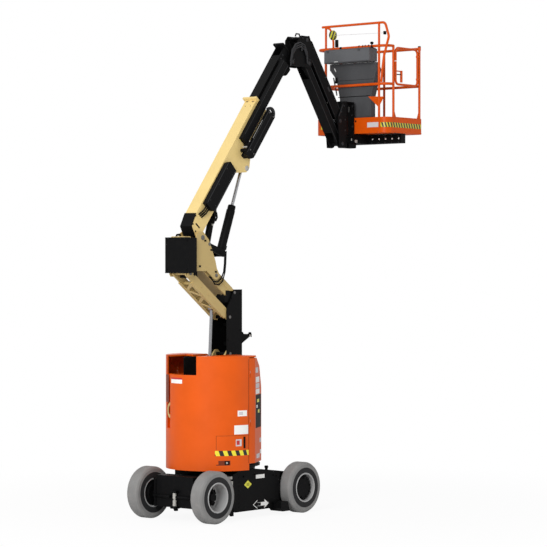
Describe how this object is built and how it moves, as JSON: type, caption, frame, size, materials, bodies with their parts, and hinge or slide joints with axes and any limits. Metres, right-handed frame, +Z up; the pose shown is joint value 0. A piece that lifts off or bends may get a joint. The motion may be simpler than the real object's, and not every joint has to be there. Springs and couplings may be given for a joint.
{
  "type": "articulating boom lift",
  "caption": "Electric articulating boom lift: swinging hood, parallelogram tower, telescoping boom and jib that lift a railed work platform over solid-tyred wheels.",
  "frame": {"origin": "on the floor, under the middle of the machine's bounding box as it stands with the boom raised", "axes": "+X from the steered wheels to the platform, +Y to the left, +Z up"},
  "size_m": [4.4175, 1.2448, 6.2981],
  "materials": {
    "orange_paint": "gloss",
    "cream_paint": "gloss",
    "black_paint": "satin",
    "tyre_rubber": "matte",
    "rim_silver": "satin",
    "chrome_rod": "polished",
    "console_plastic": "matte",
    "hose_rubber": "matte",
    "battery_case": "matte"
  },
  "bodies": {
    "chassis": {"chassis_frame": "black_paint", "steer_axle": "black_paint", "swing_bearing": "black_paint"},
    "steer_left": {"steer_knuckle_left": "black_paint"},
    "steer_right": {"steer_knuckle_right": "black_paint"},
    "wheel_steer_left": {"tyre_steer_left": "tyre_rubber", "rim_steer_left": "rim_silver", "hub_steer_left": "black_paint"},
    "wheel_steer_right": {"tyre_steer_right": "tyre_rubber", "rim_steer_right": "rim_silver", "hub_steer_right": "black_paint"},
    "wheel_drive_left": {"tyre_drive_left": "tyre_rubber", "rim_drive_left": "rim_silver", "hub_drive_left": "black_paint"},
    "wheel_drive_right": {"tyre_drive_right": "tyre_rubber", "rim_drive_right": "rim_silver", "hub_drive_right": "black_paint"},
    "turntable": {"turntable_base": "black_paint", "tail_cowl": "orange_paint", "battery_left": "battery_case", "battery_right": "battery_case"},
    "door_left": {"side_door_left": "orange_paint"},
    "door_right": {"side_door_right": "orange_paint"},
    "lower_arm": {"lower_arm": "cream_paint"},
    "lower_link": {"lower_link": "cream_paint"},
    "mid_upright": {"mid_upright": "black_paint"},
    "upper_arm": {"upper_arm": "cream_paint"},
    "upper_link": {"upper_link": "cream_paint"},
    "top_upright": {"top_upright": "cream_paint", "lift_bracket": "black_paint", "tail_weight": "black_paint"},
    "tower_barrel": {"tower_barrel": "black_paint"},
    "tower_rod": {"tower_rod": "chrome_rod"},
    "boom": {"boom_tube": "cream_paint", "boom_end_cap": "black_paint", "hose_box": "black_paint", "hose_trough": "black_paint", "hose_chain": "hose_rubber"},
    "fly": {"fly_tube": "black_paint", "hose_tube": "black_paint"},
    "lift_barrel": {"lift_barrel": "black_paint"},
    "lift_rod": {"lift_rod": "chrome_rod"},
    "jib_base": {"jib_base": "black_paint"},
    "jib_arm": {"jib_arm": "black_paint"},
    "jib_link": {"jib_link": "black_paint"},
    "jib_barrel": {"jib_barrel": "black_paint"},
    "jib_rod": {"jib_rod": "chrome_rod"},
    "jib_support": {"jib_support": "black_paint"},
    "platform": {"platform_bracket": "black_paint", "platform_floor": "orange_paint", "platform_rails": "orange_paint", "guard_hoop": "orange_paint", "control_console": "console_plastic", "console_lid": "console_plastic"},
    "gate": {"gate": "orange_paint"}
  },
  "joints": [
    {"name": "steering_left", "type": "hinge", "parent": "chassis", "child": "steer_left", "pos_m": [-1.89125, 0.385, 0.3175], "axis": [0, 0, 1], "range_deg": [-40, 40]},
    {"name": "steering_right", "type": "hinge", "parent": "chassis", "child": "steer_right", "pos_m": [-1.89125, -0.385, 0.3175], "axis": [0, 0, 1], "range_deg": [-40.01, 40.01]},
    {"name": "roll_steer_left", "type": "hinge", "parent": "steer_left", "child": "wheel_steer_left", "pos_m": [-1.89125, 0.521, 0.3175], "axis": [0, 1, 0], "continuous": true},
    {"name": "roll_steer_right", "type": "hinge", "parent": "steer_right", "child": "wheel_steer_right", "pos_m": [-1.89125, -0.521, 0.3175], "axis": [0, 1, 0], "continuous": true},
    {"name": "roll_drive_left", "type": "hinge", "parent": "chassis", "child": "wheel_drive_left", "pos_m": [-0.24125, 0.521, 0.3175], "axis": [0, 1, 0], "continuous": true},
    {"name": "roll_drive_right", "type": "hinge", "parent": "chassis", "child": "wheel_drive_right", "pos_m": [-0.24125, -0.521, 0.3175], "axis": [0, 1, 0], "continuous": true},
    {"name": "swing", "type": "hinge", "parent": "chassis", "child": "turntable", "pos_m": [-1.26625, 0, 0.64], "axis": [0, 0, 1], "range_deg": [-175, 175]},
    {"name": "door_left", "type": "hinge", "parent": "turntable", "child": "door_left", "pos_m": [-1.30625, 0.598, 1.3], "axis": [0, 0, 1], "range_deg": [0, 100]},
    {"name": "door_right", "type": "hinge", "parent": "turntable", "child": "door_right", "pos_m": [-1.30625, -0.598, 1.3], "axis": [0, 0, -1], "range_deg": [0, 100]},
    {"name": "tower_lift", "type": "hinge", "parent": "turntable", "child": "lower_arm", "pos_m": [-1.76625, 0, 1.2], "axis": [0, -1, 0], "range_deg": [-69.3, 18.7]},
    {"name": "tower_link_turn", "type": "hinge", "parent": "turntable", "child": "lower_link", "pos_m": [-1.70625, 0, 1.075], "axis": [0, -1, 0], "range_deg": [-69.31, 18.71]},
    {"name": "mid_upright_level", "type": "hinge", "parent": "lower_arm", "child": "mid_upright", "pos_m": [-1.12037, 0, 2.00618], "axis": [0, -1, 0], "range_deg": [-18.71, 69.31]},
    {"name": "upper_arm_turn", "type": "hinge", "parent": "mid_upright", "child": "upper_arm", "pos_m": [-1.12637, 0, 2.46019], "axis": [0, -1, 0], "range_deg": [-9.32, 34.52]},
    {"name": "upper_link_turn", "type": "hinge", "parent": "mid_upright", "child": "upper_link", "pos_m": [-1.03737, 0, 2.76219], "axis": [0, -1, 0], "range_deg": [-9.32, 34.52]},
    {"name": "top_upright_level", "type": "hinge", "parent": "upper_arm", "child": "top_upright", "pos_m": [-1.87471, 0, 3.00389], "axis": [0, -1, 0], "range_deg": [-34.52, 9.32]},
    {"name": "tower_barrel_turn", "type": "hinge", "parent": "lower_arm", "child": "tower_barrel", "pos_m": [-1.40102, 0, 1.1201], "axis": [0, -1, 0], "range_deg": [-5.06, 18.72]},
    {"name": "tower_rod_slide", "type": "slide", "parent": "tower_barrel", "child": "tower_rod", "axis": [0.0547, 0, 0.9985], "range_m": [-0.5505, 0.1487]},
    {"name": "boom_lift", "type": "hinge", "parent": "top_upright", "child": "boom", "pos_m": [-1.65172, 0, 3.43789], "axis": [0, -1, 0], "range_deg": [-52, 16]},
    {"name": "lift_barrel_turn", "type": "hinge", "parent": "top_upright", "child": "lift_barrel", "pos_m": [-1.16572, 0, 3.24189], "axis": [0, -1, 0], "range_deg": [-63.45, 19.53]},
    {"name": "lift_rod_slide", "type": "slide", "parent": "lift_barrel", "child": "lift_rod", "axis": [0.3542, 0, 0.9352], "range_m": [-0.3995, 0.1231]},
    {"name": "telescope", "type": "slide", "parent": "boom", "child": "fly", "axis": [0.6157, 0, 0.788], "range_m": [0, 1.2]},
    {"name": "jib_base_level", "type": "hinge", "parent": "fly", "child": "jib_base", "pos_m": [0.11216, 0, 5.69554], "axis": [0, -1, 0], "range_deg": [-16.01, 52.01]},
    {"name": "jib_lift", "type": "hinge", "parent": "jib_base", "child": "jib_arm", "pos_m": [0.40015, 0, 5.99454], "axis": [0, 1, 0], "range_deg": [-139.5, 4.5]},
    {"name": "jib_link_turn", "type": "hinge", "parent": "jib_base", "child": "jib_link", "pos_m": [0.44516, 0, 5.69754], "axis": [0, 1, 0], "range_deg": [-139.51, 4.51]},
    {"name": "jib_support_level", "type": "hinge", "parent": "jib_arm", "child": "jib_support", "pos_m": [1.09117, 0, 4.9891], "axis": [0, 1, 0], "range_deg": [-4.51, 139.51]},
    {"name": "jib_barrel_turn", "type": "hinge", "parent": "jib_base", "child": "jib_barrel", "pos_m": [0.44516, 0, 5.69754], "axis": [0, 1, 0], "range_deg": [-134.49, 4.35]},
    {"name": "jib_rod_slide", "type": "slide", "parent": "jib_barrel", "child": "jib_rod", "axis": [0.6738, 0, -0.7389], "range_m": [-0.0181, 0.5541]},
    {"name": "platform_rotate", "type": "hinge", "parent": "jib_support", "child": "platform", "pos_m": [1.28017, 0, 4.9891], "axis": [0, 0, 1], "range_deg": [-90, 90]},
    {"name": "gate_swing", "type": "hinge", "parent": "platform", "child": "gate", "pos_m": [2.14175, -0.588, 5.7301], "axis": [0, 0, -1], "range_deg": [0, 90]}
  ],
  "couplings": [
    {"joint": "steering_right", "follows": "steering_left", "ratio": 1},
    {"joint": "tower_link_turn", "follows": "tower_lift", "ratio": 1},
    {"joint": "mid_upright_level", "follows": "tower_lift", "ratio": -1},
    {"joint": "upper_arm_turn", "follows": "tower_lift", "ratio": -0.498},
    {"joint": "upper_link_turn", "follows": "tower_lift", "ratio": -0.498},
    {"joint": "top_upright_level", "follows": "tower_lift", "ratio": 0.498},
    {"joint": "tower_barrel_turn", "follows": "tower_lift", "ratio": -0.27},
    {"joint": "tower_rod_slide", "follows": "tower_lift", "m_per_rad": 0.455},
    {"joint": "lift_barrel_turn", "follows": "boom_lift", "ratio": 1.22},
    {"joint": "lift_rod_slide", "follows": "boom_lift", "m_per_rad": 0.44},
    {"joint": "jib_base_level", "follows": "boom_lift", "ratio": -1},
    {"joint": "jib_link_turn", "follows": "jib_lift", "ratio": 1},
    {"joint": "jib_support_level", "follows": "jib_lift", "ratio": -1},
    {"joint": "jib_barrel_turn", "follows": "jib_lift", "ratio": 0.964},
    {"joint": "jib_rod_slide", "follows": "jib_lift", "m_per_rad": -0.2275}
  ]
}
